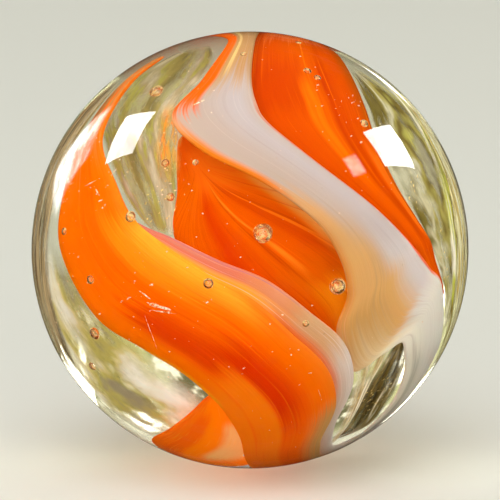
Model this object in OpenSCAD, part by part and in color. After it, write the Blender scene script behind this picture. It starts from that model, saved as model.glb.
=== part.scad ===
// Glass marble with swirled ribbons: a clear ball, two S-shaped bands of orange and white
// glass that start over the top, turn at the left and run down to the right, a deep fan of
// orange between them, a short orange fold at the bottom and a scatter of air bubbles.
// Everything is fused: each ribbon fills a hollow of exactly its own shape in the clear glass.
// Millimetres, +Z up, origin at the ball's centre, front towards -Y.

/* [Ball] */
// Diameter of the marble
ball_d = 16; // [12.7:0.1:25]
// Clear glass over the bands that lie nearest the surface
skin_t = 0.65; // [0.4:0.05:1]

/* [Ribbons] */
// Thickness of a ribbon down its middle
ribbon_t = 0.5; // [0.3:0.05:0.6]
// Clear glass between a ribbon and the one that is tucked under it
casing_t = 0.15; // [0.1:0.01:0.3]
// How far a tucked ribbon runs under its neighbour, as a share of its own width
tuck = 0.18; // [0.05:0.01:0.3]
// Rings of points between two stations along a ribbon
rings = 3; // [2:1:4]
// Strips of facets across a ribbon
strips = 8; // [6:2:10]

/* [Air] */
// How much larger or smaller than listed the air bubbles are
bubble_swell = 1; // [0.5:0.1:1.3]

/* [Hidden] */
$fn = 128;
ball_r = ball_d / 2;
layer_t = ribbon_t + casing_t;   // one ribbon and the clear glass under it
end_share = 0.14;                // share of a ribbon's length over which its ends thin out
tip_share = 0.25;                // width of a ribbon's tip, as a share of its full width
edge_power = 0.7;                // below 1, a ribbon's section is fuller than an ellipse

// Edge lines, from the ribbon's start to its end. A station is [bearing, rise, dip]: the
// bearing goes round from the front towards the right, the rise goes up from the equator,
// and the dip is how far the station lies below its layer. Lines of one band have as many
// stations as each other, and stations of the same number face each other across it.

// The upper band: over the top from behind, down to its turn, across and down the right side
upper_left = [
  [-165, 30, 1.2], [-157, 48, 0.8], [-142, 68, 0.3], [-78, 84, 0], [-30, 63, 0], [-34, 48, 0],
  [-17, 38, 0], [4, 29, 0], [19, 18, 0.1], [27, 7, 0.5], [31, -5, 0.9], [30, -18, 1.3],
  [40, -33, 1.3], [47, -26, 0.8], [52, -21, 0.4], [55, -24, 0.3], [61, -32, 0.4],
  [68, -43, 0.5], [75, -56, 0.7], [84, -67, 0.9]
];
upper_seam = [
  [178, 28, 1.2], [177, 46, 0.8], [172, 68, 0.3], [28, 87, 0], [1, 66, 0], [3, 55, 0],
  [8, 47, 0], [23, 34, 0], [39, 20, 0], [49, 10, 0], [52, 7, 0], [54, 5, 0],
  [56, 3, 0], [59, 0, 0], [65, -5, 0], [74, -21, 0.1], [78, -29, 0.3],
  [82, -40, 0.5], [87, -51, 0.7], [98, -60, 0.9]
];
upper_right = [
  [150, 28, 0.8], [145, 46, 0.5], [130, 62, 0.2], [112, 63, 0.2], [85, 60, 0.2], [65, 50, 0.2],
  [56, 38, 0.2], [56, 25, 0.2], [61, 14, 0.2], [65, 7, 0.1], [67, 1, 0.1], [70, -4, 0.1],
  [73, -9, 0], [77, -13, 0]
];

// The deep fan between the bands
fan_left = [[-38, 46, 0.4], [-30, 30, 0.6], [-28, 12, 0.8], [-10, -5, 0.8], [14, -20, 0.9], [32, -37, 1]];
fan_right = [[-34, 52, 0.4], [-5, 43, 0.6], [21, 29, 0.6], [39, 12, 0.7], [45, -6, 0.9], [46, -31, 1]];

// The lower band: up the left rim, its turn, across to the right and round under the ball
lower_left = [
  [-119, 61, 1], [-95, 51, 0.8], [-79, 34, 0.5], [-72, 18, 0.4], [-67, 4, 0.4], [-51, -13, 0.4],
  [-35, -21, 0.4], [-23, -28, 0.4], [-14, -37, 0.4], [-9, -45, 0.4], [-5, -56, 0.4],
  [-4, -74, 0.5], [170, -74, 0.8], [162, -50, 1.2]
];
lower_right = [
  [-106, 66, 0.8], [-86, 55, 0.6], [-65, 38, 0.3], [-46, 26, 0.1], [-36, 17, 0.1], [-25, 13, 0.1],
  [-10, 7, 0.1], [5, 1, 0.1], [18, -9, 0.1], [31, -20, 0.1], [39, -34, 0.1],
  [43, -52, 0.1], [80, -66, 0.4], [124, -48, 1]
];
// Where the white glass ends and the orange begins, as a share of the lower band's width
lower_seam = [1, 1, 1, 1, 1, 0.93, 0.87, 0.82, 0.79, 0.78, 0.78, 0.78, 0.8, 0.8];
// Station at which that white glass starts
white_start = 4;

// The short fold beside the lower band's end
fold_left = [[-17, -41, 0.6], [-29, -50, 0.6], [-52, -59, 0.6], [-92, -63, 0.7], [-135, -62, 0.9]];
fold_right = [[-12, -44, 0.9], [-6, -56, 0.9], [-7, -70, 0.9], [-35, -84, 0.9], [170, -78, 1.1]];

// Air bubbles: [bearing, rise, level, size]. A level from 0 to 1 is a share of the skin, and
// each whole level past 1 is one layer further in. The size is a share of the skin.
bubbles = [
  [4, 15, 2.46, 1], [25, -1, 1.4, 0.9], [-11, 1, 0.55, 0.58], [-35, 17, 0.55, 0.62],
  [-47, -1, 0.5, 0.5], [-48, -16, 0.55, 0.7], [15, -10, 0.5, 0.38], [-53, 56, 1.5, 0.77],
  [-30, 34, 1.7, 0.46], [-25, 24, 1.5, 0.46], [-19, 35, 1.7, 0.34], [-60, 10, 0.5, 0.42],
  [-6, 74, 0.5, 0.36], [37, 64, 0.6, 0.46], [40, 61, 0.7, 0.4], [46, 43, 0.6, 0.46],
  [-57, -28, 1.2, 0.46], [80, 77, 0.6, 0.34]
];

// ---- Places in the ball ----

// Direction from the ball's centre at a bearing and a rise
function towards(bearing, rise) =
  [sin(bearing) * cos(rise), -cos(bearing) * cos(rise), sin(rise)];

// Depth of a layer's middle below the surface: layer 0 lies right under the skin
function layer_depth(layer) = skin_t + ribbon_t / 2 + layer * layer_t;

// Depth of a level: 0 at the surface, 1 under the skin, then one more for each layer
function level_depth(level) = min(level, 1) * skin_t + max(level - 1, 0) * layer_t;

// The edge lines' stations as points, for a ribbon in this layer
function stations(line, layer) =
  [for (s = line) (ball_r - layer_depth(layer) - s[2]) * towards(s[0], s[1])];

// A smooth curve through b and c, which follows a and d beyond them, at f from 0 to 1
function between(a, b, c, d, f) =
  b + 0.5 * f * (c - a + f * (2 * a - 5 * b + 4 * c - d + f * (3 * (b - c) + d - a)));

// The point at place t, from 0 to the last station's number, on the curve through the points
function on_curve(points, t) =
  let(last = len(points) - 1, i = min(floor(t), last - 1))
  between(points[max(i - 1, 0)], points[i], points[i + 1], points[min(i + 2, last)], t - i);

// The same for a list of shares
function share_at(shares, t) =
  let(i = min(floor(t), len(shares) - 2)) shares[i] + (shares[i + 1] - shares[i]) * (t - i);

// The point at a share of the way from p to q, round the ball's centre
function across(p, q, share) =
  let(m = p + (q - p) * share) m * (norm(p) + (norm(q) - norm(p)) * share) / norm(m);

// ---- Ribbons ----

// How full a ribbon is at a place along it, from 0 at its ends to 1
function fullness(along) =
  let(e = min(1, min(along, 1 - along) / end_share)) sqrt(e * (2 - e));

// Points of one face of a ribbon: left and right hold its edges' points, ring by ring, and
// side is 1 for the outer face and -1 for the inner one
function face_points(left, right, side) =
  let(n = len(left) - 1)
  [for (i = [0 : n])
    let(full = fullness(i / n), width = tip_share + (1 - tip_share) * full)
    [for (j = [0 : strips])
      let(
        round_way = 180 * j / strips,
        middle = across(left[i], right[i], (1 - width * cos(round_way)) / 2),
        half = ribbon_t / 2 * pow(sin(round_way), edge_power) * full
      )
      middle * (1 + side * half / norm(middle))
    ]
  ];

// Number of the point in ring i and column j. The inner face shares the outer one's rim.
function point_number(i, j, n, outer) =
  outer || i == 0 || i == n || j == 0 || j == strips
    ? i * (strips + 1) + j
    : (n + 1) * (strips + 1) + (i - 1) * (strips - 1) + j - 1;

// Facets of one face. Each square is split so that no facet lies along the rim at a corner.
function face_facets(n, outer) = [
  for (i = [0 : n - 1]) for (j = [0 : strips - 1])
    let(
      a = point_number(i, j, n, outer),
      b = point_number(i, j + 1, n, outer),
      c = point_number(i + 1, j + 1, n, outer),
      d = point_number(i + 1, j, n, outer),
      first_way = (i < n / 2) == (j < strips / 2),
      pair = first_way ? [[a, b, c], [a, c, d]] : [[a, b, d], [b, c, d]]
    )
    for (f = pair) outer ? f : [f[2], f[1], f[0]]
];

// A closed ribbon between two lists of edge points
module ribbon(left, right) {
  n = len(left) - 1;
  outer = face_points(left, right, 1);
  inner = face_points(left, right, -1);
  points = concat(
    [for (row = outer) for (p = row) p],
    [for (i = [1 : n - 1]) for (j = [1 : strips - 1]) inner[i][j]]
  );
  polyhedron(points, concat(face_facets(n, true), face_facets(n, false)));
}

// Edge points of a line in a layer, from its first station given to the last one given
function edge(line, layer, first, last) =
  let(points = stations(line, layer))
  [for (k = [first * rings : last * rings]) on_curve(points, k / rings)];

// Edge points part of the way from one edge to another, at a list of shares that starts at first
function part_way(left, right, shares, first = 0) =
  [for (k = [0 : len(left) - 1]) across(left[k], right[k], share_at(shares, first + k / rings))];

module upper_white() {
  last = len(upper_left) - 1;
  ribbon(edge(upper_left, 0, 0, last), edge(upper_seam, 0, 0, last));
}

// Tucked under the white ribbon's right edge
module upper_orange() {
  last = len(upper_right) - 1;
  seam = edge(upper_seam, 1, 0, last);
  right = edge(upper_right, 1, 0, last);
  ribbon(part_way(seam, right, [for (k = [0 : last]) -tuck]), right);
}

module middle_orange() {
  last = len(fan_left) - 1;
  ribbon(edge(fan_left, 2, 0, last), edge(fan_right, 2, 0, last));
}

module lower_orange() {
  last = len(lower_left) - 1;
  left = edge(lower_left, 0, 0, last);
  ribbon(left, part_way(left, edge(lower_right, 0, 0, last), lower_seam));
}

// Tucked under the orange ribbon's right edge
module lower_white() {
  last = len(lower_left) - 1;
  left = edge(lower_left, 1, white_start, last);
  right = edge(lower_right, 1, white_start, last);
  ribbon(part_way(left, right, lower_seam - [for (s = lower_seam) tuck], white_start), right);
}

module folded_orange() {
  last = len(fold_left) - 1;
  ribbon(edge(fold_left, 1, 0, last), edge(fold_right, 1, 0, last));
}

module air_bubbles() {
  for (b = bubbles)
    translate((ball_r - level_depth(b[2])) * towards(b[0], b[1]))
      sphere(d = b[3] * skin_t * bubble_swell, $fn = 24);
}

// ---- Nodes ----

module clear_glass() color([0.85, 0.88, 0.72, 0.35]) difference() {
  sphere(r = ball_r);
  upper_white();
  upper_orange();
  middle_orange();
  lower_orange();
  lower_white();
  folded_orange();
  air_bubbles();
}

module upper_white_ribbon() color([0.87, 0.79, 0.74]) upper_white();

module upper_orange_ribbon() color([0.98, 0.36, 0.02]) upper_orange();

module middle_orange_ribbon() color([0.93, 0.38, 0.02]) middle_orange();

module lower_orange_ribbon() color([1, 0.42, 0.02]) lower_orange();

module lower_white_ribbon() color([0.87, 0.75, 0.68]) lower_white();

module folded_orange_ribbon() color([1, 0.48, 0.05]) folded_orange();

clear_glass();
upper_white_ribbon();
upper_orange_ribbon();
middle_orange_ribbon();
lower_orange_ribbon();
lower_white_ribbon();
folded_orange_ribbon();
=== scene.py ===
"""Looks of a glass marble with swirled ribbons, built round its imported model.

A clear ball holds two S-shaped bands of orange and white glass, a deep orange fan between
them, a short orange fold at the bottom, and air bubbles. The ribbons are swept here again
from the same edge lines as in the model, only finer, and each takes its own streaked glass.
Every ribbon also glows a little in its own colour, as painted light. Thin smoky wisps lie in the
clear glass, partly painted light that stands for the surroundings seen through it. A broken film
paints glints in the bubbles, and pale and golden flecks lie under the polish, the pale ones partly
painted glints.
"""

from __future__ import annotations

import logging
import math
from collections.abc import Callable
from dataclasses import dataclass
from enum import Enum

import bpy
import numpy as np
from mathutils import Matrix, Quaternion, Vector

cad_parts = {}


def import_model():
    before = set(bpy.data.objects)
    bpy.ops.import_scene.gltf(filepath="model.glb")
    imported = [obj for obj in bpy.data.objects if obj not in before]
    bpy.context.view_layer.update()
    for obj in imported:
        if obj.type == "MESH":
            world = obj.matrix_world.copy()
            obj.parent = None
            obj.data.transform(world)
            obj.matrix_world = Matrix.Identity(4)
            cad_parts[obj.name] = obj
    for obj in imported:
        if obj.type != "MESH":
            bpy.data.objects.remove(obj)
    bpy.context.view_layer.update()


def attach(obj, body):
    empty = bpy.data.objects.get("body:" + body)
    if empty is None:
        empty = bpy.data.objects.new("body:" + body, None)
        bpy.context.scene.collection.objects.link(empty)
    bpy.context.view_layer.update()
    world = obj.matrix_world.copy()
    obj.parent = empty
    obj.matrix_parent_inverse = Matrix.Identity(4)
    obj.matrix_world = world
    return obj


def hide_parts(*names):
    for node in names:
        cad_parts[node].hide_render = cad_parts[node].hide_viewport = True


LOG = logging.getLogger("marble")
MM = 0.001
BODY = "root"
FLOW_MAP = "flow"

Colour = tuple[float, float, float]
Screen = tuple[int, int, int]
Stops = tuple[tuple[float, int, int, int], ...]
Pair = tuple[float, float]
Points = np.ndarray
Limits = tuple[float, float, float, float]
Stations = tuple[tuple[float, float, float], ...]


# ---- Shader maths ----


def _operator(operation: str, reflected: bool = False) -> Callable[[Wire, Wire | float], Wire]:
    """Makes an operator of Wire, which adds a Math node.

    Args:
        operation: The node's operation.
        reflected: Whether the wire comes second.

    Returns:
        The operator.
    """
    def operate(this: Wire, other: Wire | float) -> Wire:
        """Adds the node."""
        first, second = (other, this) if reflected else (this, other)
        return this.board.node("Math", {0: first, 1: second}, operation=operation)

    return operate


class Wire:
    """One output of a shader node. Arithmetic on it adds Math nodes."""

    def __init__(self, board: Board, socket: bpy.types.NodeSocket) -> None:
        """Keeps the socket and the board that it belongs to."""
        self.board = board
        self.socket = socket

    def __abs__(self) -> Wire:
        """Size without its sign."""
        return self.board.node("Math", {0: self}, operation="ABSOLUTE")

    __add__, __radd__ = _operator("ADD"), _operator("ADD", True)
    __sub__, __rsub__ = _operator("SUBTRACT"), _operator("SUBTRACT", True)
    __mul__, __rmul__ = _operator("MULTIPLY"), _operator("MULTIPLY", True)
    __truediv__ = _operator("DIVIDE")
    at_least = _operator("MAXIMUM")


class Board:
    """The node tree of a material, a light or the world, with what a finish needs from it."""

    def __init__(self, owner: bpy.types.Material | bpy.types.Light | bpy.types.World) -> None:
        """Empties the node tree of what it is for."""
        owner.use_nodes = True
        self.owner = owner
        self.tree = owner.node_tree
        self.tree.nodes.clear()

    @classmethod
    def for_material(cls, name: str) -> Board:
        """The board of a new material."""
        return cls(bpy.data.materials.new(name))

    def add(self, kind: str, values: dict | None = None, **settings: object) -> bpy.types.Node:
        """Adds a node, sets it up and then fills its inputs.

        Args:
            kind: The node's type, after ShaderNode.
            values: Numbers, tuples or wires, by input name or number.
            **settings: Attributes of the node, or the stops of a ramp, set first.

        Returns:
            The node.
        """
        node = self.tree.nodes.new(f"ShaderNode{kind}")
        stops = settings.pop("stops", ())
        for name, value in settings.items():
            setattr(node, name, value)
        if stops:
            ramp = node.color_ramp
            ramp.interpolation = "EASE"
            while len(ramp.elements) < len(stops):
                ramp.elements.new(1.0)
            for element, (place, *colour) in zip(ramp.elements, stops):
                element.position, element.color = place, opaque(srgb(colour))
        for name, value in (values or {}).items():
            if isinstance(value, Wire):
                self.tree.links.new(value.socket, node.inputs[name])
            else:
                node.inputs[name].default_value = value
        return node

    def node(self, kind: str, values: dict | None = None, output: int | str = 0,
             **settings: object) -> Wire:
        """Adds a node as add does, and returns one of its outputs."""
        return Wire(self, self.add(kind, values, **settings).outputs[output])

    def wires(self, kind: str, names: tuple, values: dict | None = None) -> list[Wire]:
        """Adds a node as add does, and returns several of its outputs."""
        node = self.add(kind, values)
        return [Wire(self, node.outputs[name]) for name in names]

    def flow(self) -> list[Wire]:
        """Places on a ribbon: along it and across it, each from 0 to 1."""
        place = self.node("UVMap", uv_map=FLOW_MAP)
        return self.wires("SeparateXYZ", (0, 1), {0: place})

    def point(self, x: Wire | float, y: Wire | float, z: Wire | float = 0.0) -> Wire:
        """A vector of three numbers."""
        return self.node("CombineXYZ", {0: x, 1: y, 2: z})

    def rise(self, value: Wire, start: float, end: float) -> Wire:
        """A smooth step from 0 at start to 1 at end, which may be the lower of the two."""
        limits = {"From Min": min(start, end), "From Max": max(start, end),
                  "To Min": float(start > end), "To Max": float(start <= end)}
        return self.node("MapRange", {"Value": value, **limits}, interpolation_type="SMOOTHSTEP")

    def noise(self, place: Wire, scale: float = 1.0, detail: float = 3.0,
              roughness: float = 0.5) -> Wire:
        """Smooth noise from about 0.2 to 0.8 at a place."""
        values = {"Vector": place, "Scale": scale, "Detail": detail, "Roughness": roughness}
        return self.node("TexNoise", values, noise_dimensions="3D")

    def grain(self, along: Wire, over: Wire, pattern: tuple) -> Wire:
        """Noise over a ribbon, by its scale along and over, its cut, detail and roughness."""
        length, width, cut, detail, roughness = pattern
        return self.noise(self.point(along * length, over * width, cut), 1.0, detail, roughness)

    def mix(self, share: Wire | float, first: Wire | Colour, second: Wire | Colour) -> Wire:
        """Colour between first, at a share of 0, and second, at 1."""
        values = {0: share, 6: opaque(first), 7: opaque(second)}
        return self.node("Mix", values, 2, data_type="RGBA", clamp_factor=True)

    def window(self, value: Wire, limits: Limits) -> Wire:
        """1 between the two middle limits, falling smoothly to 0 at the first and the last."""
        first, full, until_here, last = limits
        return self.rise(value, first, full) * self.rise(value, last, until_here)

    def ramp(self, value: Wire, stops: Stops) -> Wire:
        """Colour at a value, by a row of stops."""
        return self.node("ValToRGB", {0: value}, stops=stops)

    def painted_glow_shader(self, colour: Wire, glow: float, values: dict) -> Wire:
        """A shader that glows a little in its own colour: painted light, standing in for lamp light
        reaching it through the glass.
        """
        own = {"Base Color": colour, "Emission Color": colour, "Emission Strength": glow}
        return self.node("BsdfPrincipled", {**own, **values})

    def finish(self, surface: Wire, output: str = "OutputMaterial",
               more: dict | None = None) -> bpy.types.ID:
        """Sends a shader to the output, and returns what the board is for."""
        self.add(output, {"Surface": surface, **(more or {})})
        return self.owner


def opaque(colour: Wire | Colour) -> Wire | tuple[float, float, float, float]:
    """A colour with its fourth number, or the wire that was given."""
    return colour if isinstance(colour, Wire) else (*colour, 1.0)


def srgb(screen: Screen) -> Colour:
    """Linear colour of a screen colour whose parts go from 0 to 255."""
    parts = (part / 255 for part in screen)
    return tuple(p / 12.92 if p <= 0.04045 else ((p + 0.055) / 1.055) ** 2.4 for p in parts)


# ---- Shapes ----


def towards(bearing: float, rise: float) -> Points:
    """Direction from the ball's centre at a bearing and a rise, in degrees."""
    side, up = math.radians(bearing), math.radians(rise)
    return np.array([math.sin(side) * math.cos(up), -math.cos(side) * math.cos(up), math.sin(up)])


def smooth_curve(points: Points, places: Points) -> Points:
    """Points of a Catmull-Rom curve through a row of points.

    Args:
        points: The points that the curve passes through.
        places: Where to read it, from 0 to the last point's number.

    Returns:
        One point for each place.
    """
    last = len(points) - 1
    i = np.minimum(places.astype(int), last - 1)
    f = (places - i)[:, None]
    a, b = points[np.maximum(i - 1, 0)], points[i]
    c, d = points[i + 1], points[np.minimum(i + 2, last)]
    return b + 0.5 * f * (c - a + f * (2 * a - 5 * b + 4 * c - d + f * (3 * (b - c) + d - a)))


def across(start: Points, end: Points, share: Points) -> Points:
    """Points part of the way from one row of points to another, round the ball's centre.

    Args:
        start: The points at a share of 0.
        end: The points at a share of 1.
        share: How far to go. It may lie outside 0 to 1.

    Returns:
        The points.
    """
    mix = start + (end - start) * share
    near, far = (np.linalg.norm(p, axis=-1, keepdims=True) for p in (start, end))
    return mix * (near + (far - near) * share) / np.linalg.norm(mix, axis=-1, keepdims=True)


def new_piece(name: str, points: Points, faces: list,
              material: bpy.types.Material) -> bpy.types.Object:
    """Makes a smooth-shaded mesh object in metres.

    Args:
        name: The piece's name.
        points: Its vertices, in millimetres.
        faces: Vertex numbers of its faces.
        material: What it wears.

    Returns:
        The object, linked to the scene.
    """
    mesh = bpy.data.meshes.new(name)
    mesh.from_pydata((points * MM).tolist(), [], faces)
    mesh.polygons.foreach_set("use_smooth", [True] * len(mesh.polygons))
    mesh.materials.append(material)
    mesh.update()
    piece = bpy.data.objects.new(name, mesh)
    bpy.context.scene.collection.objects.link(piece)
    return piece


def fit(piece: bpy.types.Object, node: str | None = None) -> None:
    """Puts a piece in the model and reports it.

    Args:
        piece: The piece.
        node: The node that it stands for, if any.
    """
    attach(piece, BODY)
    if node:
        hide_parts(node)
    LOG.info("%s: %d faces", piece.name, len(piece.data.polygons))


@dataclass(frozen=True)
class Layers:
    """How ribbons lie under the ball's surface, in millimetres."""

    ball_r: float = 8.0
    skin: float = 0.65
    ribbon: float = 0.5
    casing: float = 0.15

    def depth(self, layer: int) -> float:
        """Depth of a layer's middle below the surface."""
        return self.skin + self.ribbon / 2 + layer * (self.ribbon + self.casing)

    def level_depth(self, level: float) -> float:
        """Depth of a level: 0 at the surface, 1 under the skin, then one more for each layer."""
        return min(level, 1) * self.skin + max(level - 1, 0) * (self.ribbon + self.casing)

    def line(self, stations: Stations, layer: int, places: Points) -> Points:
        """Points of an edge line at places from 0 to its last station's number."""
        points = [(self.ball_r - self.depth(layer) - dip) * towards(b, r) for b, r, dip in stations]
        return smooth_curve(np.array(points), places)


@dataclass
class Ribbon:
    """A closed ribbon between two rows of edge points, with flow coordinates for its streaks.

    It stands for a node of the model, or for none where it is only a wisp in the clear glass.
    """

    name: str
    node: str | None
    slot: str
    left: Points
    right: Points
    thick: float
    material: bpy.types.Material
    strips: int = 40
    end_share: float = 0.14
    tip_share: float = 0.25
    edge_power: float = 0.7

    def faces_of(self, side: int) -> Points:
        """Grid of points of one of its two faces.

        Args:
            side: 1 for the outer face, -1 for the inner.

        Returns:
            The points, in rows from one long edge to the other.
        """
        along = np.linspace(0, 1, len(self.left))
        e = np.minimum(1, np.minimum(along, 1 - along) / self.end_share)
        full = np.sqrt(e * (2 - e))[:, None]
        round_way = np.linspace(0, math.pi, self.strips + 1)[None, :]
        width = self.tip_share + (1 - self.tip_share) * full
        share = (1 - width * np.cos(round_way)) / 2
        middle = across(self.left[:, None, :], self.right[:, None, :], share[:, :, None])
        half = self.thick / 2 * np.sin(round_way) ** self.edge_power * full
        half[:, [0, -1]] = 0
        return middle * (1 + side * half / np.linalg.norm(middle, axis=-1))[:, :, None]

    def build(self) -> None:
        """Makes the mesh, its flow map and its place in the model."""
        rows, columns = len(self.left), self.strips + 1
        outer, inner = self.faces_of(1), self.faces_of(-1)
        number = np.arange(rows * columns).reshape(rows, columns)
        inner_number = number.copy()
        inside = np.arange((rows - 2) * (columns - 2)).reshape(rows - 2, columns - 2)
        inner_number[1:-1, 1:-1] = rows * columns + inside
        points = np.concatenate([outer.reshape(-1, 3), inner[1:-1, 1:-1].reshape(-1, 3)])
        over = (1 - np.cos(np.linspace(0, math.pi, columns))) / 2
        i, j = (m.ravel() for m in np.indices((rows - 1, columns - 1)))
        ring = [(i, j), (i, j + 1), (i + 1, j + 1), (i + 1, j)]
        faces, flow = [], []
        for grid, corners in ((number, ring[::-1]), (inner_number, ring)):
            faces.extend(np.stack([grid[c] for c in corners], 1).tolist())
            flow.append([np.stack((a / (rows - 1), over[b]), 1) for a, b in corners])
        piece = new_piece(self.name, points, faces, self.material)
        flow_map = piece.data.uv_layers.new(name=FLOW_MAP)
        places = np.array(flow, np.float32).transpose(0, 2, 1, 3)
        flow_map.data.foreach_set("uv", places.ravel())
        fit(piece, self.node)


# ---- Finishes ----


MATT = {"Roughness": 1.0, "Specular IOR Level": 0.0}
WHOLE: Limits = (-1, -0.5, 2, 3)


def until(full: float, end: float) -> Limits:
    """Limits of a patch that is there from the start, full up to one place and gone at the next."""
    return (*WHOLE[:2], full, end)


def past(start: float, full: float) -> Limits:
    """Limits of a patch that starts at one place, is full at the next and goes on to the end."""
    return (start, full, *WHOLE[2:])


@dataclass(frozen=True)
class ClearGlass:
    """Clear glass, faintly olive through its whole depth, that lets light in to what is inside."""

    absorbed: Colour = (0.66, 0.64, 0.33)
    density: float = 52.0
    ior: float = 1.5
    let_through: Colour = (0.9, 0.9, 0.9)

    def material(self) -> bpy.types.Material:
        """Makes the material.

        Returns:
            The material. Shadow rays pass straight through it.
        """
        board = Board.for_material("clear_glass")
        glass = board.node("BsdfPrincipled", {
            "Base Color": (1, 1, 1, 1), "Roughness": 0.0, "IOR": self.ior,
            "Transmission Weight": 1.0,
        })
        gap = board.node("BsdfTransparent", {"Color": opaque(self.let_through)})
        shadow = board.node("LightPath", output="Is Shadow Ray")
        mixer = board.node("MixShader", {0: shadow, 1: glass, 2: gap})
        depth = board.node("VolumeAbsorption", {
            "Color": opaque(self.absorbed), "Density": self.density,
        })
        return board.finish(mixer, more={"Volume": depth})


@dataclass(frozen=True)
class Wash:
    """A patch of another colour in a ribbon.

    Its limits are where it starts, is full, is still full and ends.
    """

    colour: Screen
    along: Limits
    over: Limits
    strength: float = 1.0
    ragged: float = 0.04
    streaks: float = 0.0


@dataclass(frozen=True)
class StreakedGlass:
    """Coloured glass drawn out in streaks along its ribbon, or spread from a hub like a fan."""

    name: str
    ground: Stops
    washes: tuple[Wash, ...]
    dark: Screen
    bright: Screen
    darker: float
    brighter: float
    coarse: Pair = (3.0, 9.0)
    fine: Pair = (5.0, 46.0)
    ridges: float = 0.2
    # glow is painted light: emission in the glass's own colour that lifts the ribbons where little
    # lamp light reaches them, most of all low in the ball.
    glow: float = 0.22
    hub: Pair | None = None
    slopes: Pair = (-1.1, 2.0)
    hub_gap: float = 0.04
    sway: float = 0.06
    wander: float = 0.1
    sink: float = 0.0003

    def material(self) -> bpy.types.Material:
        """Makes the material.

        Returns:
            The material.
        """
        board = Board.for_material(self.name)
        along, over = board.flow()
        lane = over
        if self.hub:
            low, high = self.slopes
            lane = (over - self.hub[1]) / (along - self.hub[0]).at_least(self.hub_gap)
            lane = (lane - low) / (high - low)
        coarse = board.grain(along, lane, (*self.coarse, 0.0, 4.0, 0.6))
        fine = board.grain(along, lane, (*self.fine, 3.0, 2.0, 0.5))
        sway = board.grain(along, over, (5.0, 2.0, 7.0, 2.0, 0.5)) - 0.5
        colour = board.ramp(lane + sway * self.sway + (coarse - 0.5) * self.wander, self.ground)
        for number, wash in enumerate(self.washes):
            push = (coarse - 0.5) * wash.ragged + (fine - 0.5) * wash.ragged
            mask = board.window(along + push * 2.0, wash.along)
            mask = mask * board.window(over + sway * 0.05 + push, wash.over)
            if wash.streaks:
                gaps = board.grain(along, over, (4.0, 26.0, 11.0 + number, 3.0, 0.5))
                mask = mask * (1 - wash.streaks * board.rise(gaps, 0.42, 0.62))
            colour = board.mix(mask * wash.strength, colour, srgb(wash.colour))
        for grain, start, end, share, tone in (
            (coarse, 0.52, 0.75, self.darker, self.dark),
            (fine, 0.6, 0.72, self.darker * 0.5, self.dark),
            (fine, 0.42, 0.28, self.brighter, self.bright),
        ):
            colour = board.mix(board.rise(grain, start, end) * share, colour, srgb(tone))
        relief = board.node("Bump", {
            "Height": coarse + fine * 0.5, "Strength": self.ridges, "Distance": self.sink,
        })
        return board.finish(board.painted_glow_shader(colour, self.glow, {
            **MATT, "Normal": relief, "Subsurface Weight": 0.35,
            "Subsurface Radius": (1.0, 0.6, 0.4), "Subsurface Scale": self.sink,
        }))


@dataclass(frozen=True)
class SmokeAndPaintedView:
    """A thin wisp in the clear glass: soft patches or bands of several tones, with clear gaps. It
    is partly smoky veil and partly painted light: its light and dark patches paint the surroundings
    and their highlights as seen through the glass.
    """

    tones: Stops
    cover: Pair
    patches: Pair = (3.0, 4.0)
    fade: Pair = (0.2, 0.25)
    streaks: float = 9.0
    bands: float = 0.0
    # glow is painted light too, so that the wisps look lit from behind.
    glow: float = 0.2

    def material(self, name: str) -> bpy.types.Material:
        """Makes the material.

        Args:
            name: Its name.

        Returns:
            The material.
        """
        board = Board.for_material(name)
        along, over = board.flow()
        patches = board.grain(along, over, (*self.patches, 5.0, 3.0, 0.55))
        streaks = board.grain(along, over, (2.0, self.streaks, 2.0, 2.0, 0.5))
        holes = board.grain(along, over, (4.0, 6.0, 9.0, 4.0, 0.6))
        cloud = board.rise(patches * 0.7 + streaks * 0.3, 0.34, 0.66)
        colour = board.ramp(over * self.bands + cloud * (1 - self.bands), self.tones)
        thin, thick = self.cover
        ends, sides = self.fade
        edges = board.window(along, (0, ends, 1 - ends, 1))
        edges = edges * board.window(over, (0, sides, 1 - sides, 1))
        cover = edges * (thin + (thick - thin) * board.rise(holes, 0.38, 0.6))
        return board.finish(board.painted_glow_shader(colour, self.glow, {**MATT, "Alpha": cover}))


@dataclass(frozen=True)
class FleckGlass:
    """Pale, glassy and broken: flecks and chips under the polish, or the film round a bubble. On
    the chips and in the bubbles its pale blotches and glow are painted glints.
    """

    name: str
    dull: Screen
    pale: Screen
    cover: Pair = (0.2, 0.95)
    spread: Pair = (0.38, 0.55)
    scale: float = 7000.0
    # glow is painted light, which makes the pale flecks and the film shine like glints.
    glow: float = 0.2
    rough: float = 0.35

    def material(self) -> bpy.types.Material:
        """Makes the material.

        Returns:
            The material.
        """
        board = Board.for_material(self.name)
        place = board.node("TexCoord", output="Object")
        grain = board.noise(place, self.scale, 3.0, 0.7)
        colour = board.mix(board.rise(grain, 0.4, 0.6), srgb(self.dull), srgb(self.pale))
        thin, thick = self.cover
        cover = thin + (thick - thin) * board.rise(grain, *self.spread)
        values = {"Roughness": self.rough, "Alpha": cover}
        return board.finish(board.painted_glow_shader(colour, self.glow, values))


# ---- The marble ----


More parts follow.
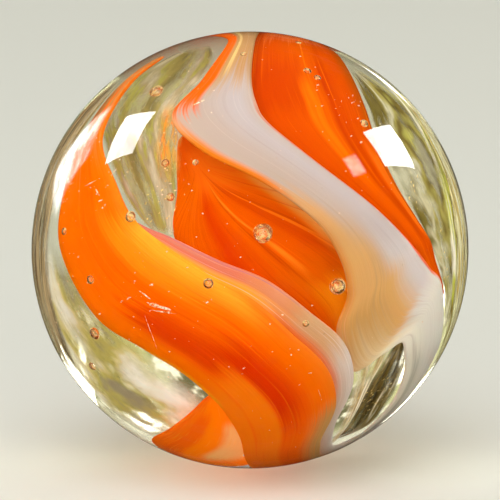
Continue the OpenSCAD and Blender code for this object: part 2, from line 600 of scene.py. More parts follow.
UPPER_LEFT: Stations = (
    (-165, 30, 1.2), (-157, 48, 0.8), (-142, 68, 0.3), (-78, 84, 0), (-30, 63, 0), (-34, 48, 0),
    (-17, 38, 0), (4, 29, 0), (19, 18, 0.1), (27, 7, 0.5), (31, -5, 0.9), (30, -18, 1.3),
    (40, -33, 1.3), (47, -26, 0.8), (52, -21, 0.4), (55, -24, 0.3), (61, -32, 0.4),
    (68, -43, 0.5), (75, -56, 0.7), (84, -67, 0.9),
)
UPPER_SEAM: Stations = (
    (178, 28, 1.2), (177, 46, 0.8), (172, 68, 0.3), (28, 87, 0), (1, 66, 0), (3, 55, 0),
    (8, 47, 0), (23, 34, 0), (39, 20, 0), (49, 10, 0), (52, 7, 0), (54, 5, 0),
    (56, 3, 0), (59, 0, 0), (65, -5, 0), (74, -21, 0.1), (78, -29, 0.3),
    (82, -40, 0.5), (87, -51, 0.7), (98, -60, 0.9),
)
UPPER_RIGHT: Stations = (
    (150, 28, 0.8), (145, 46, 0.5), (130, 62, 0.2), (112, 63, 0.2), (85, 60, 0.2), (65, 50, 0.2),
    (56, 38, 0.2), (56, 25, 0.2), (61, 14, 0.2), (65, 7, 0.1), (67, 1, 0.1), (70, -4, 0.1),
    (73, -9, 0), (77, -13, 0),
)
FAN_LEFT: Stations = (
    (-38, 46, 0.4), (-30, 30, 0.6), (-28, 12, 0.8), (-10, -5, 0.8), (14, -20, 0.9), (32, -37, 1),
)
FAN_RIGHT: Stations = (
    (-34, 52, 0.4), (-5, 43, 0.6), (21, 29, 0.6), (39, 12, 0.7), (45, -6, 0.9), (46, -31, 1),
)
LOWER_LEFT: Stations = (
    (-119, 61, 1), (-95, 51, 0.8), (-79, 34, 0.5), (-72, 18, 0.4), (-67, 4, 0.4), (-51, -13, 0.4),
    (-35, -21, 0.4), (-23, -28, 0.4), (-14, -37, 0.4), (-9, -45, 0.4), (-5, -56, 0.4),
    (-4, -74, 0.5), (170, -74, 0.8), (162, -50, 1.2),
)
LOWER_RIGHT: Stations = (
    (-106, 66, 0.8), (-86, 55, 0.6), (-65, 38, 0.3), (-46, 26, 0.1), (-36, 17, 0.1), (-25, 13, 0.1),
    (-10, 7, 0.1), (5, 1, 0.1), (18, -9, 0.1), (31, -20, 0.1), (39, -34, 0.1),
    (43, -52, 0.1), (80, -66, 0.4), (124, -48, 1),
)
LOWER_SEAM = (1, 1, 1, 1, 1, 0.93, 0.87, 0.82, 0.79, 0.78, 0.78, 0.78, 0.8, 0.8)
FOLD_LEFT: Stations = (
    (-17, -41, 0.6), (-29, -50, 0.6), (-52, -59, 0.6), (-92, -63, 0.7), (-135, -62, 0.9),
)
FOLD_RIGHT: Stations = (
    (-12, -44, 0.9), (1, -56, 0.9), (10, -69, 0.9), (-20, -84, 0.9), (165, -78, 1.1),
)

DEEP_RED = (220, 52, 0)
AMBER = (252, 168, 45)
TAN = (226, 170, 106)
CREAM = (192, 169, 157)

UPPER_WHITE = StreakedGlass(
    "upper_white_glass",
    ground=((0.0, 226, 164, 116), (0.1, 194, 170, 156), (0.35, *CREAM),
            (0.8, 190, 175, 174), (0.96, 190, 170, 162), (1.0, 212, 150, 112)),
    washes=(
        Wash((192, 138, 76), until(0.19, 0.25), WHOLE, 0.9),
        Wash((236, 200, 130), (0.1, 0.13, 0.19, 0.22), (0.42, 0.46, 0.5, 0.56), 0.8, 0.02),
        Wash((250, 98, 0), (0.08, 0.12, 0.24, 0.275), until(0.28, 0.38)),
        Wash((220, 206, 204), past(0.42, 0.52), past(0.4, 0.6), 0.9),
        Wash((250, 130, 24), (0.26, 0.31, 0.37, 0.42), until(0.03, 0.16), 1.0, 0.03),
        Wash((220, 164, 110), (0.36, 0.41, 0.48, 0.54), until(0.12, 0.34), 1.0, 0.03),
        Wash(TAN, (0.4, 0.49, 0.55, 0.61), until(0.3, 0.62), 0.95, 0.02),
        Wash(TAN, (0.48, 0.56, 0.63, 0.7), until(0.52, 0.84), 1.0, 0.03),
        Wash((200, 148, 84), (0.54, 0.6, 0.62, 0.68), until(0.25, 0.6), 0.8, 0.03),
        Wash((224, 140, 56), (0.4, 0.46, 0.54, 0.6), until(0.0, 0.12), 0.9, 0.03),
        Wash((242, 222, 182), past(0.575, 0.67), until(0.2, 0.5), 0.85, 0.03),
        Wash((240, 232, 220), past(0.64, 0.74), WHOLE, 0.85),
        Wash((150, 140, 120), past(0.76, 0.84), (0.1, 0.2, 0.3, 0.5), 0.5, 0.05, 0.6),
        Wash((222, 100, 50), (0.24, 0.3, 0.52, 0.6), (0.955, 0.97, 0.978, 0.99), 0.5, 0.004),
        Wash((240, 92, 10), (0.44, 0.5, 0.68, 0.76), past(0.955, 0.98), 0.9, 0.01),
    ),
    dark=(168, 136, 118), bright=(224, 208, 200), darker=0.3, brighter=0.2,
    fine=(2.2, 60.0), ridges=0.1, glow=0.14,
)
UPPER_ORANGE = StreakedGlass(
    "upper_orange_glass",
    ground=((0.0, 196, 62, 0), (0.3, 206, 72, 0), (0.6, 214, 82, 0),
            (0.85, 206, 72, 0), (1.0, 166, 74, 10)),
    washes=(
        Wash((236, 124, 60), until(0.19, 0.215), (0.1, 0.3, 0.8, 0.9), 0.35, 0.08),
        Wash((188, 52, 0), (0.24, 0.3, 0.36, 0.46), (0.05, 0.2, 0.5, 0.6), 0.6, 0.06),
        Wash((246, 112, 4), (0.3, 0.36, 0.5, 0.6), (0.48, 0.53, 0.58, 0.66), 0.8, 0.02, 0.5),
        Wash((192, 56, 0), (0.26, 0.34, 0.6, 0.8), (0.64, 0.7, 0.76, 0.82), 0.8, 0.03, 0.4),
        Wash((244, 110, 20), (0.45, 0.5, 0.62, 0.7), (0.8, 0.85, 0.9, 0.95), 0.7, 0.03),
    ),
    dark=(186, 48, 0), bright=(246, 116, 4), darker=0.5, brighter=0.5, coarse=(2.2, 8.0),
    fine=(3.0, 40.0),
)
MIDDLE_ORANGE = StreakedGlass(
    "deep_orange_glass",
    ground=((0.0, 216, 90, 0), (0.13, 212, 82, 0), (0.22, 204, 58, 0),
            (0.3, 212, 72, 0), (0.37, 222, 88, 0), (0.42, 220, 84, 0),
            (0.435, 244, 124, 24), (0.45, 226, 86, 0), (0.52, 222, 84, 0),
            (0.6, 214, 72, 0), (0.635, 214, 74, 0), (0.65, 244, 116, 16),
            (0.665, 208, 72, 0), (0.71, 222, 84, 0), (0.8, 230, 92, 0),
            (1.0, 240, 100, 0)),
    washes=(
        Wash((222, 84, 0), until(0.12, 0.24), WHOLE, 0.9, 0.05),
        Wash((242, 108, 12), (0.08, 0.14, 0.24, 0.34), past(0.2, 0.4), 0.7, 0.05),
        Wash((248, 140, 30), (0.22, 0.32, 0.62, 0.8), past(0.74, 0.84), 0.95, 0.03),
        Wash((240, 166, 88), (0.26, 0.36, 0.7, 0.9), past(0.77, 0.88), 0.95, 0.02),
        Wash((208, 88, 0), past(0.52, 0.66), past(0.2, 0.5), 0.85, 0.05),
        Wash((226, 136, 56), past(0.56, 0.66), past(0.84, 0.96), 0.85, 0.03),
        Wash((228, 130, 10), past(0.64, 0.74), past(0.42, 0.58), 0.9, 0.04),
    ),
    dark=(180, 42, 0), bright=(255, 130, 20), darker=0.75, brighter=0.2, fine=(2.0, 60.0),
    coarse=(2.0, 14.0), ridges=0.12, glow=0.32, hub=(0.15, 0.41),
)
LOWER_ORANGE = StreakedGlass(
    "lower_orange_glass",
    ground=((0.0, 236, 108, 0), (0.12, 252, 108, 0), (0.55, 250, 100, 0),
            (0.8, 250, 106, 0), (1.0, 244, 120, 20)),
    washes=(
        Wash(AMBER, (0.28, 0.36, 0.46, 0.6), past(0.72, 0.92), 0.95, 0.05),
        Wash((255, 144, 20), (0.26, 0.34, 0.44, 0.56), (0.6, 0.72, 0.86, 0.96), 0.7, 0.06, 0.7),
        Wash(DEEP_RED, (0.4, 0.47, 0.56, 0.64), (0.14, 0.28, 0.34, 0.62), 0.85, 0.05),
        Wash(DEEP_RED, (0.52, 0.6, 0.7, 0.82), (0.34, 0.46, 0.52, 0.82), 1.0, 0.05),
        # The bright orange ellipse low in the band: its own colour, made paler to make up for the
        # shade low in the ball, so partly painted light.
        Wash((255, 120, 10), (0.56, 0.63, 0.88, 0.95), until(0.37, 0.45), 1.0, 0.02),
        Wash((252, 146, 20), (0.44, 0.5, 0.62, 0.68), until(0.03, 0.06), 0.9, 0.01),
        Wash((232, 120, 34), (0.48, 0.56, 0.9, 1.2), past(0.94, 1.0), 0.85, 0.02),
        Wash((198, 146, 84), past(0.74, 0.79), past(0.62, 0.94), 1.0, 0.03),
        Wash((176, 140, 84), until(0.12, 0.2), (0.0, 0.1, 0.9, 1.0), 0.9, 0.1, 0.8),
    ),
    dark=(232, 66, 0), bright=(255, 132, 20), darker=0.4, brighter=0.3, fine=(3.2, 56.0),
)
LOWER_WHITE = StreakedGlass(
    "lower_white_glass",
    ground=((0.0, 222, 150, 96), (0.3, 214, 168, 134), (0.5, 210, 180, 160),
            (0.85, 218, 200, 190), (1.0, 222, 206, 200)),
    washes=(
        Wash((216, 112, 84), until(0.28, 0.42), WHOLE, 0.95, 0.02),
        Wash((208, 156, 108), (0.36, 0.42, 0.5, 0.6), WHOLE, 0.9, 0.03),
        Wash((222, 132, 78), (0.26, 0.33, 0.39, 0.46), WHOLE, 0.8, 0.03),
        Wash((246, 168, 56), until(0.3, 0.46), until(0.62, 0.76), 1.0, 0.02),
        Wash((230, 108, 16), (0.36, 0.44, 0.6, 0.72), until(0.38, 0.7), 1.0, 0.03),
        Wash((222, 150, 96), past(0.6, 0.72), (0.0, 0.2, 0.3, 0.6), 0.6, 0.05, 0.6),
        Wash((190, 112, 140), until(0.34, 0.48), (0.94, 0.955, 0.965, 0.98), 0.6, 0.006),
    ),
    dark=(190, 150, 140), bright=(244, 234, 236), darker=0.45, brighter=0.45,
    fine=(2.4, 44.0), glow=0.16,
)
FOLDED_ORANGE = StreakedGlass(
    "folded_orange_glass",
    ground=((0.0, 220, 90, 10), (0.3, 244, 118, 0), (0.8, 248, 120, 10), (1.0, 250, 128, 10)),
    washes=(Wash((230, 172, 104), (0.22, 0.34, 0.7, 0.85), past(0.52, 0.66), 0.95, 0.03),
            Wash((214, 70, 10), (0.1, 0.3, 0.9, 1.2), (0.1, 0.2, 0.3, 0.4), 0.6, 0.06)),
    # The fold lies lowest in the ball, so it takes the most painted glow.
    dark=(230, 84, 0), bright=(255, 160, 60), darker=0.3, brighter=0.3, glow=0.6,
)


@dataclass
class Ribbons:
    """All the coloured glass in the ball."""

    layers: Layers = Layers()
    rings: int = 14
    tuck: float = 0.18
    white_start: int = 4

    def edge(self, stations: Stations, layer: int, first: int = 0) -> Points:
        """Edge points of a line in a layer, from one of its stations to its last."""
        rows = (len(stations) - 1 - first) * self.rings + 1
        return self.layers.line(stations, layer, np.linspace(first, len(stations) - 1, rows))

    def lay(self, name: str, slot: str, left: Points, right: Points,
            glass: StreakedGlass) -> None:
        """Makes the ribbon that stands for the node of its name."""
        thick, material = self.layers.ribbon, glass.material()
        Ribbon(name, f"{name}_ribbon", slot, left, right, thick, material).build()

    def build(self) -> None:
        """Makes the six ribbons."""
        left, right = self.edge(UPPER_LEFT, 0), self.edge(UPPER_SEAM, 0)
        self.lay("upper_white", "white_glass", left, right, UPPER_WHITE)
        right = self.edge(UPPER_RIGHT, 1)
        seam = self.edge(UPPER_SEAM, 1)[:len(right)]
        left = across(seam, right, np.full((len(seam), 1), -self.tuck))
        self.lay("upper_orange", "orange_glass", left, right, UPPER_ORANGE)
        left, right = self.edge(FAN_LEFT, 2), self.edge(FAN_RIGHT, 2)
        self.lay("middle_orange", "deep_orange_glass", left, right, MIDDLE_ORANGE)
        left, right = self.edge(LOWER_LEFT, 0), self.edge(LOWER_RIGHT, 0)
        place = np.linspace(0, len(LOWER_SEAM) - 1, len(left))
        share = np.interp(place, np.arange(len(LOWER_SEAM)), LOWER_SEAM)[:, None]
        self.lay("lower_orange", "orange_glass", left, across(left, right, share), LOWER_ORANGE)
        left, right = (self.edge(line, 1, self.white_start) for line in (LOWER_LEFT, LOWER_RIGHT))
        left = across(left, right, share[-len(left):] - self.tuck)
        self.lay("lower_white", "white_glass", left, right, LOWER_WHITE)
        left, right = self.edge(FOLD_LEFT, 1), self.edge(FOLD_RIGHT, 1)
        self.lay("folded_orange", "deep_orange_glass", left, right, FOLDED_ORANGE)


class Wisp(Enum):
    """Each wisp's layer, its dip in millimetres, and bearings and rises along its two edges."""

    UPPER_LEFT = (3, 0,
        ((-157, 32), (-133, 40), (-108, 38), (-81, 36), (-57, 26), (-39, 14)),
        ((-168, 56), (-76, 75), (-52, 57), (-38, 45), (-29, 30), (-26, 12)))
    LOWER_LEFT = (3, 0,
        ((-125, -4), (-124, -17), (-125, -28), (-128, -38), (-132, -47), (-142, -55)),
        ((-80, 4), (-66, -12), (-48, -23), (-34, -34), (-22, -46), (-18, -58)))
    RIGHT = (3, 0,
        ((134, 52), (90, 50), (69, 39), (68, 25), (74, 12), (82, 0), (94, -12), (109, -24)),
        ((151, 37), (140, 29), (134, 20), (130, 11), (127, 3), (125, -6), (124, -15), (125, -27)))
    VEIL = (2, 0.3,
        ((38, -28), (40, -34), (46, -42), (56, -53), (80, -66), (119, -70)),
        ((62, -14), (62, -20), (60, -28), (58, -38), (62, -49), (92, -65)))
    SMOKE = (3, 0,
        ((68, -24), (64, -30), (62, -40), (67, -51), (90, -62), (150, -56)),
        ((72, -22), (78, -30), (87, -38), (102, -47), (128, -51), (155, -50)))
    RIGHT_RIM = (0, 0,
        ((96, 58), (86, 46), (80, 36), (75, 26), (72, 15), (71, 3), (72, -8), (76, -20), (83, -38)),
        ((106, 62), (100, 51), (97, 41), (94, 28), (92, 16), (91, 3), (90, -9), (92, -21),
         (92, -40)))
    LEFT_RIM = (0, 0,
        ((-100, 53), (-97, 39), (-95, 27), (-93, 16), (-92, 3), (-91, -9), (-90, -21), (-86, -40)),
        ((-86, 55), (-79, 41), (-77, 29), (-73, 16), (-71, 4), (-70, -8), (-68, -21), (-70, -40)))
    AMBER = (1, 0.3,
        ((-56, 55), (-47, 46), (-40, 37), (-33, 28)),
        ((-36, 60), (-30, 48), (-27, 39), (-25, 30)))


WISP_CREAM = (246, 238, 220)
WISP_GLASS = {
    Wisp.UPPER_LEFT: SmokeAndPaintedView(
        ((0.0, 140, 126, 74), (0.3, 166, 150, 86), (0.5, 180, 172, 88), (0.65, 176, 160, 122),
         (1.0, 222, 206, 176)),
        (0.4, 0.9), (3.0, 4.0), (0.08, 0.12), 4.0, glow=0.12),
    Wisp.LOWER_LEFT: SmokeAndPaintedView(
        ((0.0, 166, 152, 124), (0.25, 196, 182, 104), (0.45, 220, 204, 148),
         (0.65, 232, 222, 200), (1.0, 248, 242, 234)),
        (0.4, 0.92), (3.0, 3.0), streaks=4.0, glow=0.38),
    Wisp.RIGHT: SmokeAndPaintedView(
        ((0.0, 106, 92, 48), (0.22, 136, 122, 62), (0.36, 222, 216, 188), (0.5, 178, 166, 92),
         (0.64, 124, 106, 54), (0.8, 198, 192, 100), (1.0, *WISP_CREAM)),
        (0.3, 0.95), (3.0, 1.6), (0.1, 0.06), 2.6, 0.35, 0.2),
    Wisp.VEIL: SmokeAndPaintedView(
        ((0.0, 190, 160, 110), (0.4, 214, 196, 156), (0.7, *WISP_CREAM), (1.0, *WISP_CREAM)),
        (0.25, 0.9), fade=(0.12, 0.3), glow=0.3),
    Wisp.SMOKE: SmokeAndPaintedView(
        ((0.0, 82, 68, 36), (0.5, 120, 102, 58), (0.8, 160, 142, 94), (1.0, *WISP_CREAM)),
        (0.6, 0.97), fade=(0.12, 0.2), streaks=6.0, glow=0.1),
    Wisp.RIGHT_RIM: SmokeAndPaintedView(
        ((0.0, 140, 124, 60), (0.15, *WISP_CREAM), (0.28, 196, 196, 72), (0.4, 128, 104, 42),
         (0.52, 240, 234, 190), (0.64, 190, 160, 70), (0.76, 240, 236, 180),
         (0.88, 124, 92, 44), (1.0, 204, 186, 110)),
        (0.15, 0.9), (2.6, 1.6), (0.12, 0.12), 9.0, 0.45, 0.3),
    Wisp.LEFT_RIM: SmokeAndPaintedView(
        ((0.0, 116, 72, 34), (0.2, 190, 144, 84), (0.35, 92, 68, 44), (0.5, 204, 176, 132),
         (0.65, 104, 84, 54), (0.8, 176, 146, 72), (1.0, 144, 122, 56)),
        (0.4, 0.95), (1.5, 3.0), (0.12, 0.15), 34.0, 0.55),
    Wisp.AMBER: SmokeAndPaintedView(
        ((0.0, 170, 150, 70), (0.5, 216, 156, 66), (1.0, 240, 130, 40)),
        (0.1, 0.7), (2.0, 2.0), (0.3, 0.35), 16.0),
}


@dataclass
class Wisps:
    """Smoky and straw-coloured wisps that drift in the clear glass between the ribbons. Partly they
    are veils in the glass, partly painted light: the bright and dark surroundings seen through the
    glass.
    """

    layers: Layers = Layers()
    rings: int = 10
    strips: int = 24
    thick: float = 0.05

    def build(self) -> None:
        """Makes the wisps."""
        for wisp in Wisp:
            layer, dip, left, right = wisp.value
            last = len(left) - 1
            places = np.linspace(0, last, last * self.rings + 1)
            edges = (self.layers.line([(*place, dip) for place in line], layer, places)
                     for line in (left, right))
            name = f"wisp_{wisp.name.lower()}"
            glass = WISP_GLASS[wisp].material(name)
            Ribbon(name, None, "clear_glass", *edges, self.thick, glass, self.strips).build()


@dataclass
class Fleck:
    """A flat ragged lens under the surface, in millimetres and degrees.

    Its length and width are half the whole, and its turn is how its length lies from level.
    """

    bearing: float
    rise: float
    depth: float
    length: float
    width: float
    turn: float

    def points(self, ball_r: float, ragged: Points) -> Points:
        """Finds its rim, then its middle.

        Args:
            ball_r: The ball's radius.
            ragged: How far out each rim point lies, about 1.

        Returns:
            The points.
        """
        out = towards(self.bearing, self.rise)
        level = np.cross((0, 0, 1), out)
        level /= np.linalg.norm(level)
        up = np.cross(out, level)
        c, s = math.cos(math.radians(self.turn)), math.sin(math.radians(self.turn))
        long_way, wide_way = level * c + up * s, up * c - level * s
        angle = np.arange(len(ragged)) * 2 * math.pi / len(ragged)
        rim = (np.cos(angle) * self.length * ragged)[:, None] * long_way
        rim = rim + (np.sin(angle) * self.width * ragged)[:, None] * wide_way
        middle = out * (ball_r - self.depth)
        return np.concatenate([middle + rim, [middle + out * self.width * 0.3]])


@dataclass
class Flecks:
    """Tiny flecks all over under the polish, and a few longer chips and scratches drawn as pale
    glowing flakes: painted glints where the chips would catch the light.

    A chip is a bearing, a rise, a length, a width and a turn. A cluster of glinting or golden
    flecks is a bearing, a rise, a spread in degrees and a number; the glinting ones are painted
    glints.
    """

    layers: Layers = Layers()
    count: int = 380
    seed: int = 7
    corners: int = 11
    chip_glint_depth: float = 0.12
    glint_depth: float = 0.15
    golden_depth: float = 1.6
    chip_glints: tuple = (
        (-25, -5.5, 0.5, 0.09, -12), (-23, -7, 0.42, 0.03, -4), (-28, -3, 0.3, 0.03, -30),
        (-27.5, -12, 0.72, 0.012, 106), (22, -32, 0.32, 0.012, 115), (-52, 24, 0.3, 0.02, 30),
        (-48, 22, 0.22, 0.025, -35), (-22, 51, 0.3, 0.05, 40), (-33, -4, 0.08, 0.02, 10),
        (-44, 28, 0.16, 0.02, 60), (-60, 28, 0.24, 0.012, 75), (-46, 20, 0.1, 0.03, 20),
    )
    glint_clusters: tuple = (
        (-62, 24, 6, 44), (-44, 24, 5, 22), (-56, -4, 8, 40), (-30, -5, 7, 26), (-14, -14, 9, 14),
        (8, -24, 9, 8), (40, 50, 8, 34), (44, 30, 7, 12), (-25, 27, 4, 16), (4, 2, 12, 14),
        (-30, 62, 8, 14), (70, 8, 8, 12),
    )
    golden: tuple = (
        (60, -44, 5, 70), (66, 22, 4, 24), (80, 2, 5, 20), (-30, 24, 4, 34), (-38, 44, 4, 18),
    )

    def scatter(self, dice: np.random.Generator) -> list[Fleck]:
        """Strews small flecks all over the ball.

        Args:
            dice: Where the chances come from.

        Returns:
            The flecks.
        """
        flecks = []
        for _ in range(self.count):
            way = dice.normal(size=3)
            way /= np.linalg.norm(way)
            bearing, rise = math.atan2(way[0], -way[1]), math.asin(way[2])
            length = 0.012 + 0.03 * dice.random() ** 3
            flecks.append(Fleck(math.degrees(bearing), math.degrees(rise),
                                0.1 + 0.4 * dice.random(), length,
                                length * (0.4 + 0.5 * dice.random()), dice.random() * 180))
        return flecks

    def gather(self, dice: np.random.Generator, clusters: tuple, depth: float,
               turn: float) -> list[Fleck]:
        """Places flecks that lie in clusters.

        Args:
            dice: Where the chances come from.
            clusters: Bearing, rise, spread in degrees and number of each.
            depth: How far below the surface the nearest lie, in millimetres.
            turn: How they are turned on the average, in degrees.

        Returns:
            The flecks.
        """
        flecks = []
        for bearing, rise, spread, number in clusters:
            for _ in range(number):
                b, r = dice.normal(size=2) * spread
                length = 0.016 + 0.055 * dice.random() ** 2
                flecks.append(Fleck(bearing + b, rise + r, depth * (1 + 0.5 * dice.random()),
                                    length, length * (0.3 + 0.3 * dice.random()),
                                    turn + 60 * (dice.random() - 0.5)))
        return flecks

    def piece(self, name: str, flecks: list[Fleck], dice: np.random.Generator,
              finish: FleckGlass) -> None:
        """Makes one piece of many flecks.

        Args:
            name: The piece's name.
            flecks: The flecks.
            dice: Where their raggedness comes from.
            finish: What it wears.
        """
        points, faces = [], []
        for fleck in flecks:
            ragged = 0.55 + 0.7 * dice.random(self.corners)
            corners = fleck.points(self.layers.ball_r, ragged)
            start, rim = len(points), len(corners) - 1
            points.extend(corners)
            faces.extend([start + k, start + (k + 1) % rim, start + rim] for k in range(rim))
        fit(new_piece(name, np.array(points), faces, finish.material()))

    def build(self) -> None:
        """Makes the pale flecks, partly painted glints, and the golden ones."""
        dice = np.random.default_rng(self.seed)
        chip_glints = [Fleck(b, r, self.chip_glint_depth, *shape) for b, r, *shape in self.chip_glints]
        near = self.gather(dice, self.glint_clusters, self.glint_depth, 20)
        self.piece("pale_flecks_and_glints", chip_glints + near + self.scatter(dice), dice,
                   FleckGlass("pale_fleck_and_glint_glass", (250, 180, 110), (252, 232, 206)))
        self.piece("golden_flecks", self.gather(dice, self.golden, self.golden_depth, 55), dice,
                   FleckGlass("golden_fleck_glass", (214, 160, 50), (250, 226, 150)))


@dataclass
class ClearBall:
    """The clear glass: its polished outside, the air bubbles in it and a broken film round them
    that paints their glints.

    A bubble is a bearing, a rise, a level and its size as a share of the skin.
    """

    radius: float = 8.0
    cells: int = 112
    bubble_cells: int = 8
    glint_cells: int = 6
    glint_share: float = 1.04
    # A pale, glowing, broken film just outside each bubble's wall: painted glints and highlights in
    # the bubbles.
    painted_glints: FleckGlass = FleckGlass(
        "bubble_painted_glints", (240, 128, 20), (255, 224, 150), (0.12, 0.55), (0.5, 0.62), 3600.0)
    layers: Layers = Layers()
    bubbles: tuple = (
        (4, 15, 2.46, 1), (25, -1, 1.4, 0.9), (-11, 1, 0.55, 0.58), (-35, 17, 0.55, 0.62),
        (-47, -1, 0.5, 0.5), (-48, -16, 0.55, 0.7), (15, -10, 0.5, 0.38), (-53, 56, 1.5, 0.77),
        (-30, 34, 1.7, 0.46), (-25, 24, 1.5, 0.46), (-19, 35, 1.7, 0.34), (-60, 10, 0.5, 0.42),
        (-6, 74, 0.5, 0.36), (37, 64, 0.6, 0.46), (40, 61, 0.7, 0.4), (46, 43, 0.6, 0.46),
        (-57, -28, 1.2, 0.46), (80, 77, 0.6, 0.34),
    )

    @staticmethod
    def cube_ball(cells: int) -> tuple[Points, Points]:
        """A ball of radius 1 made of six square grids.

        Args:
            cells: Faces along each side of a grid.

        Returns:
            Its points, and the four point numbers of each face.
        """
        at = np.tan(np.linspace(-math.pi / 4, math.pi / 4, cells + 1))
        u, v = (m.ravel() for m in np.meshgrid(at, at, indexing="ij"))
        one = np.ones_like(u)
        sides = [(one, u, v), (-one, v, u), (v, one, u), (u, -one, v), (u, v, one), (v, u, -one)]
        points = np.concatenate([np.stack(s, 1) for s in sides])
        number = np.arange((cells + 1) ** 2).reshape(cells + 1, cells + 1)
        ring = (number[:-1, :-1], number[1:, :-1], number[1:, 1:], number[:-1, 1:])
        square = np.stack(ring, -1).reshape(-1, 4)
        faces = np.concatenate([square + k * number.size for k in range(6)])
        points /= np.linalg.norm(points, axis=1, keepdims=True)
        _, first, same = np.unique(points.round(7), axis=0, return_index=True, return_inverse=True)
        return points[first], same.ravel()[faces]

    def walls(self, cells: int, swell: float = 1.0) -> tuple[Points, Points]:
        """The walls of all the bubbles, facing out of them.

        Args:
            cells: Faces along each side of a bubble's grids.
            swell: How much larger than the bubbles they are.

        Returns:
            Their points, and the four point numbers of each face.
        """
        small, small_faces = self.cube_ball(cells)
        points, faces = [], []
        for number, (bearing, rise, level, size) in enumerate(self.bubbles):
            centre = (self.radius - self.layers.level_depth(level)) * towards(bearing, rise)
            points.append(centre + small * size * self.layers.skin / 2 * swell)
            faces.append(small_faces + number * len(small))
        return np.concatenate(points), np.concatenate(faces)

    def build(self) -> None:
        """Makes the ball with its bubbles, and the broken film round them that paints their glints.
        """
        points, faces = self.cube_ball(self.cells)
        walls, wall_faces = self.walls(self.bubble_cells)
        faces = np.concatenate([faces, wall_faces[:, ::-1] + len(points)])
        points = np.concatenate([points * self.radius, walls])
        glass = ClearGlass().material()
        fit(new_piece("glass_ball", points, faces.tolist(), glass), "clear_glass")
        points, faces = self.walls(self.glint_cells, self.glint_share)
        painted_glints = self.painted_glints.material()
        fit(new_piece("bubble_painted_glints", points, faces.tolist(), painted_glints))


# ---- Studio ----


class Shown(Enum):
    """Whether a light is seen in the polish and through the glass, and lights plain surfaces."""

    IN_GLASS = (True, True, False)
    IN_POLISH = (True, False, False)
    THROUGH_GLASS = (False, True, False)
    ON_SURFACES = (False, True, True)


class Softbox(Enum):
    """How each light is made.

    In turn: bearing, rise and roll in degrees, width and height in degrees of view, radiance, how
    far its edges are soft, as a share of its size, how uneven it is, and where it is shown.
    """

    LEFT_WINDOW = (-110, 40, -34, 20.5, 15.5, 18.0, 0.02, 0.3, Shown.IN_GLASS)
    RIGHT_WINDOW = (113, 32, -34, 23, 15.5, 18.0, 0.04, 0.2, Shown.IN_GLASS)
    RIM_LINE = (166, 7, 0, 7, 7, 6.5, 0.4, 0.0, Shown.IN_POLISH)
    FAINT_WINDOW = (78, 40, -12, 10.5, 10.5, 9.0, 0.2, 0.4, Shown.IN_GLASS)
    LEFT_PANEL = (-135, 14, -10, 23, 25, 8.5, 0.18, 0.7, Shown.IN_GLASS)
    BACK_GLOW = (147, 37, -30, 16, 10, 18.0, 0.3, 0.8, Shown.THROUGH_GLASS)
    SIDE_STRIP = (131, 23, 35, 4, 22, 12.0, 0.35, 0.7, Shown.THROUGH_GLASS)
    OVERHEAD = (-10, 58, 0, 42, 42, 2.8, 0.01, 0.0, Shown.ON_SURFACES)
    FRONT = (0, 18, 0, 60, 28, 2.4, 0.01, 0.0, Shown.ON_SURFACES)


@dataclass
class Room:
    """The dim room round the lights: soft blotches of light and olive shade."""

    olive: Colour = (0.17, 0.16, 0.09)
    straw: Colour = (0.62, 0.62, 0.32)
    lamps: Colour = (1.25, 1.2, 1.05)
    horizon: Colour = (0.4, 0.4, 0.32)
    zenith: Colour = (0.8, 0.8, 0.8)
    backdrop: Colour = (1.05, 1.05, 1.01)
    dimmed: float = 0.94
    strength: float = 0.8
    more_through_glass: float = 0.6

    def build(self) -> None:
        """Makes the world. In the polish it is dimmed, so that the softboxes stand out there."""
        world = bpy.data.worlds.new("room")
        bpy.context.scene.world = world
        board = Board(world)
        way = board.node("TexCoord", output="Generated")
        room = board.mix(board.rise(board.noise(way, 3.0, 2.0), 0.4, 0.6), self.olive, self.straw)
        room = board.mix(board.rise(board.noise(way, 9.0, 3.0, 0.6), 0.52, 0.66), room, self.lamps)
        height, = board.wires("SeparateXYZ", (2,), {0: way})
        room = board.mix(board.rise(abs(height), 0.16, 0.02), room, self.horizon)
        room = board.mix(board.rise(height, 0.55, 0.85), room, self.zenith)
        rays = ("Is Transmission Ray", "Is Glossy Ray", "Is Camera Ray")
        through, glossy, seen = board.wires("LightPath", rays)
        tone = board.mix(glossy * (1 - through) * self.dimmed, room, (0.0, 0.0, 0.0))
        light = board.node("Background", {
            "Color": board.mix(seen, tone, self.backdrop),
            "Strength": self.strength + through * self.more_through_glass,
        })
        board.finish(light, "OutputWorld")


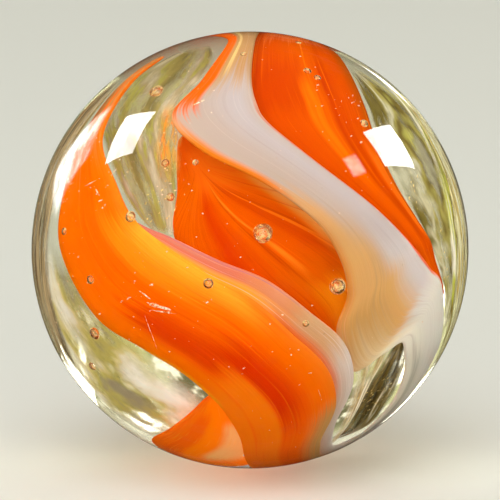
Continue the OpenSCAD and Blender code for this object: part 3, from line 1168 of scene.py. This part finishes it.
@dataclass
class Studio:
    """Pale floor, soft lights and the camera, in metres and degrees."""

    radius: float = 0.008
    reach: float = 0.5
    camera_far: float = 0.25
    camera_rise: float = 10.0
    fill: float = 0.874
    floor_half_mm: float = 3000.0
    floor_tones: tuple[Colour, Colour] = ((0.8, 0.8, 0.75), (0.84, 0.84, 0.79))
    sensor_mm: float = 36.0
    bounces: int = 16
    glass_bounces: int = 12
    clamp: float = 8.0

    def floor(self) -> None:
        """A wide pale floor under the ball."""
        board = Board.for_material("pale_floor")
        place = board.node("TexCoord", output="Object")
        tone = board.mix(board.noise(place, 3.0), *self.floor_tones)
        shader = board.node("BsdfPrincipled", {"Base Color": tone, "Roughness": 0.7})
        corners = np.array([(-1, -1, 0), (1, -1, 0), (1, 1, 0), (-1, 1, 0)]) * self.floor_half_mm
        corners = corners - (0, 0, self.radius / MM)
        floor = new_piece("floor", corners, [[0, 1, 2, 3]], board.finish(shader))
        floor.visible_glossy = False

    @staticmethod
    def shade_light(light: bpy.types.Light, soft: float, uneven: float) -> None:
        """Gives a light soft edges and a cloudy face.

        Args:
            light: The light.
            soft: Width of its soft edges, as a share of its size.
            uneven: How much darker its dark patches are, from 0 to 1.
        """
        board = Board(light)
        face = board.node("NewGeometry", output="Parametric")
        u, v = board.wires("SeparateXYZ", (0, 1), {0: face})
        limits = (0.0, soft, 1 - soft, 1.0)
        cloud = board.rise(board.noise(board.point(u * 2.0, v * 4.0), 1.0, 3.0, 0.6), 0.4, 0.62)
        level = board.window(u, limits) * board.window(v, limits) * (1 - uneven * cloud)
        glow = board.node("Emission", {"Strength": level})
        board.finish(glow, "OutputLight")

    def lights(self) -> None:
        """Rectangular softboxes, each facing the ball."""
        for box in Softbox:
            bearing, rise, roll, wide, high, radiance, soft, uneven, shown = box.value
            size = [2 * self.reach * math.tan(math.radians(a) / 2) for a in (wide, high)]
            light = bpy.data.lights.new(f"softbox_{box.name.lower()}", "AREA")
            light.shape = "RECTANGLE"
            light.size, light.size_y = size
            light.energy = radiance * math.pi * size[0] * size[1]
            self.shade_light(light, soft, uneven)
            lamp = bpy.data.objects.new(light.name, light)
            direction = towards(bearing, rise)
            lamp.location = direction * self.reach
            turn = Quaternion((0, 0, 1), math.radians(roll))
            lamp.rotation_euler = (Vector(direction).to_track_quat("Z", "Y") @ turn).to_euler()
            lamp.visible_glossy, lamp.visible_transmission, lamp.visible_diffuse = shown.value
            bpy.context.scene.collection.objects.link(lamp)

    def camera(self) -> None:
        """A long lens that looks down a little at the ball."""
        lens = bpy.data.cameras.new("camera")
        half_ball = math.asin(self.radius / self.camera_far)
        half_view = math.atan(math.tan(half_ball) / self.fill)
        lens.sensor_width = self.sensor_mm
        lens.lens = lens.sensor_width / 2 / math.tan(half_view)
        lens.clip_start = MM
        eye = bpy.data.objects.new("camera", lens)
        direction = towards(0, self.camera_rise)
        eye.location = direction * self.camera_far
        eye.rotation_euler = Vector(direction).to_track_quat("Z", "Y").to_euler()
        bpy.context.scene.collection.objects.link(eye)
        bpy.context.scene.camera = eye

    def build(self) -> None:
        """Sets up the whole studio and how light is shown."""
        self.floor()
        self.lights()
        Room().build()
        self.camera()
        scene = bpy.context.scene
        scene.view_settings.view_transform = "Standard"
        scene.cycles.max_bounces = self.bounces
        scene.cycles.transmission_bounces = self.glass_bounces
        scene.cycles.transparent_max_bounces = self.glass_bounces
        scene.cycles.caustics_reflective = False
        scene.cycles.sample_clamp_indirect = self.clamp


def main() -> None:
    """Builds the marble and its studio."""
    logging.basicConfig(level=logging.INFO, format="%(message)s")
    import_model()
    Studio().build()
    Ribbons().build()
    Wisps().build()
    Flecks().build()
    ClearBall().build()


if __name__ == "__main__":
    main()
